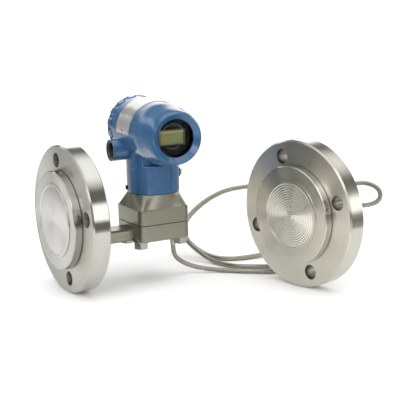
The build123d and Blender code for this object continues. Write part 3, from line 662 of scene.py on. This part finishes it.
# Weld bead that holds each foil in its body: bright, and rippled by the passes of the torch
weld = {
    "face": -11.75 * mm, "size": 0.85 * mm, "ripple": 0.12, "ripples": 110, "sides": 440,
    "processRadius": 45.05 * mm, "remoteRadius": 41.55 * mm,
}
materials["weld"] = blastedSteel("steel_weld_bead", "e2dfd4", 0.2, 0.01 * mm)
for name, place, axis, radius in (
    ("process_weld_bead", processPlace, Vector((1, 0, 0)), weld["processRadius"]),
    ("remote_weld_bead", remotePlace, remoteAxis, weld["remoteRadius"]),
):
    profile = []
    for degrees in range(0, 360, 45):
        profile.append((
            weld["face"] - weld["size"] * math.cos(math.radians(degrees)),
            radius + weld["size"] * math.sin(math.radians(degrees)),
        ))
    bead = revolved(place, axis, profile, weld["sides"], weld["ripple"], weld["ripples"])
    addPiece(name, *bead, materials["weld"], "base", "seal_steel")

# Thread in the open conduit mouth, cut to a coarse pitch: dull and dark brown
thread = {
    "outer": 10.66 * mm, "inner": 10.1 * mm, "pitch": 1.8 * mm, "start": 52.4 * mm, "turns": 6,
    "root": 0.03 * mm, "sides": 72,
}
materials["thread"] = blastedSteel("steel_thread_dull", "4a463c", 0.5)
crests = []
for number in range(thread["turns"]):
    begin = thread["start"] - number * thread["pitch"]
    crests += [(begin, thread["outer"]), (begin - thread["pitch"] / 2, thread["inner"])]
threadEnd = thread["start"] - thread["turns"] * thread["pitch"]
crests += [
    (threadEnd, thread["outer"]), (threadEnd, thread["outer"] + thread["root"]),
    (thread["start"], thread["outer"] + thread["root"]),
]
ring = revolved(entryCentre, -housingSide, crests, thread["sides"])
addPiece("conduit_thread", *ring, materials["thread"], "housing", "black_steel", smooth=False)

# Rim round the display and the two short ribs moulded on the bezel
display = {
    "front": 69.0 * mm, "middle": -1.5 * mm, "width": 33.4 * mm, "height": 17.0 * mm,
    "rim": 1.5 * mm, "depth": 0.45 * mm,
}
materials["rim"] = mouldedSkin("plastic_display_rim", "4d5140", 0.4, sheen=0.25)
vertices = []
for depth in (display["front"], display["front"] + display["depth"]):
    for grow in (0.0, display["rim"]):
        halfWidth = display["width"] / 2 + grow
        halfHeight = display["height"] / 2 + grow
        for signX, signZ in ((-1, -1), (1, -1), (1, 1), (-1, 1)):
            across = display["middle"] + signX * halfWidth
            vertices.append(
                coverCentre + housingSide * across + upward * (signZ * halfHeight) + housingFront * depth
            )
faces = []
for side in range(4):
    after = (side + 1) % 4
    faces += [
        (side, after, 4 + after, 4 + side), (8 + side, 12 + side, 12 + after, 8 + after),
        (side, 8 + side, 8 + after, after), (4 + side, 4 + after, 12 + after, 12 + side),
    ]
addPiece("display_rim", vertices, faces, materials["rim"], "housing", "moulding_grey", smooth=False)

ribs = {
    "bezel_rib_upper": {"middle": 0.0, "half": 46.0, "radius": 15.4 * mm, "width": 2.4 * mm},
    "bezel_rib_lower": {"middle": 180.0, "half": 36.0, "radius": 13.6 * mm, "width": 2.0 * mm},
}
ribShape = {"height": 0.4 * mm, "crown": (0.25, 0.75), "sides": 36}
# The ribs are real, but paler than the black bezel: their colour is a painted highlight along them
materials["bezelRib"] = mouldedSkin("plastic_bezel_rib", "3d3932", 0.4, sheen=0.2)
for name, rib in ribs.items():
    crown = display["front"] + ribShape["height"]
    profile = [
        (display["front"], rib["radius"]),
        (crown, rib["radius"] + rib["width"] * ribShape["crown"][0]),
        (crown, rib["radius"] + rib["width"] * ribShape["crown"][1]),
        (display["front"], rib["radius"] + rib["width"]),
    ]
    arc = revolved(
        coverCentre, housingFront, profile, ribShape["sides"], middle=rib["middle"], half=rib["half"],
    )
    addPiece(name, *arc, materials["bezelRib"], "housing", "display_black", smooth=False)
print("small pieces done")


# Floor and light

def corners(left, right, front, back, height):
    return [(left, front, height), (right, front, height), (right, back, height), (left, back, height)]


# Matt white card, hardly glossy
floorFacts = {"height": -0.09525, "table": (-0.6, 0.55, -0.45, 0.55), "room": (-40, 40, -40, 40)}
floorMaterial = newMaterial("floor_pale", {
    "Base Color": colour("f6f6f5"), "Roughness": 0.8, "Specular IOR Level": 0.2,
})[0]
table = corners(*floorFacts["table"], floorFacts["height"])
room = corners(*floorFacts["room"], floorFacts["height"])
nearFloor = newPiece("floor_table", table, [(0, 1, 2, 3)], floorMaterial)
farFloor = newPiece(
    "floor_far", table + room, [(4, 5, 1, 0), (5, 6, 2, 1), (6, 7, 3, 2), (7, 4, 0, 3)], floorMaterial,
)
farFloor.visible_glossy = False  # the steel sees the tent beyond the table's edge

lights = {
    "sky_panel": {
        "kind": "SUN", "from": (0, 0, 0), "to": (0.25, 0.35, -1.0), "mirrored": False,
        "settings": {"energy": 1.0, "angle": math.radians(120)},
    },
    "left_window": {
        "kind": "AREA", "from": (-1.3, -1.2, 1.3), "to": (0.1, 0, 0.05), "mirrored": True,
        "settings": {"shape": "RECTANGLE", "size": 0.9, "size_y": 0.9, "energy": 6},
    },
    "left_fill": {
        "kind": "AREA", "from": (-1.5, -0.6, 0.5), "to": (0.13, 0, 0.1), "mirrored": False,
        "settings": {"shape": "RECTANGLE", "size": 1.2, "size_y": 1.2, "energy": 8},
    },
}
for name, facts in lights.items():
    data = bpy.data.lights.new(name, facts["kind"])
    for setting, value in facts["settings"].items():
        setattr(data, setting, value)
    light = bpy.data.objects.new(name, data)
    light.location = facts["from"]
    light.rotation_mode = "QUATERNION"
    heading = Vector(facts["to"]) - Vector(facts["from"])
    light.rotation_quaternion = heading.to_track_quat("-Z", "Y")
    light.visible_glossy = facts["mirrored"]
    bpy.context.collection.objects.link(light)

# Brightness of the tent by height (the sine of the elevation): far right, right and left of the
# camera; from and to say where one side gives way to the next, by how far a direction points its way
tent = {
    "far": [
        (-1.0, 0.35), (-0.35, 0.35), (-0.15, 0.15), (-0.05, 0.25), (0.05, 0.95), (0.25, 1.0),
        (0.35, 0.2), (0.5, 0.1), (0.6, 0.1), (0.7, 0.9), (1.0, 0.8),
    ],
    "right": [
        (-1.0, 0.35), (-0.25, 0.4), (-0.15, 0.1), (0.0, 0.1), (0.1, 1.0), (0.4, 1.0), (0.5, 0.1),
        (0.7, 0.1), (0.9, 0.9), (1.0, 0.7),
    ],
    "left": [
        (-1.0, 0.4), (-0.15, 0.4), (-0.1, 0.1), (0.35, 0.1), (0.4, 0.8), (0.5, 0.8), (0.55, 0.1),
        (0.75, 0.15), (0.85, 0.8), (1.0, 0.7),
    ],
    "leftToRight": {"way": (0.94, -0.34, 0.0), "from": -0.35, "to": 0.0},
    "rightToFar": {"way": (1.0, 0.0, 0.0), "from": 0.55, "to": 0.70},
    "strength": 2.1,
}


def studioWorld(facts):
    world = bpy.data.worlds.new("studio")
    world.use_nodes = True
    tree = world.node_tree
    direction = addNode(tree, "TexCoord", output="Generated")
    rise = addNode(tree, "SeparateXYZ", inputs={"Vector": direction}, output="Z")
    height = addNode(tree, "MapRange", inputs={"Value": rise, "From Min": -1.0})
    sides = {}
    for side in ("left", "right", "far"):
        sides[side] = addNode(tree, "ValToRGB", inputs={"Fac": height})
        setStops(sides[side], [(0.5 + sine / 2, grey) for sine, grey in facts[side]])
    room = sides["left"]
    for change, side in (("leftToRight", "right"), ("rightToFar", "far")):
        aside = addNode(tree, "VectorMath", dot, {0: direction, 1: facts[change]["way"]})
        share = addNode(tree, "MapRange", {"interpolation_type": "SMOOTHSTEP"}, {
            "Value": aside, "From Min": facts[change]["from"], "From Max": facts[change]["to"],
        })
        room = addNode(tree, "Mix", blend, {"Factor": share, "A": room, "B": sides[side]})
    setInputs(tree, tree.nodes["Background"], {"Color": room, "Strength": facts["strength"]})
    bpy.context.scene.world = world


studioWorld(tent)
print("stage set")
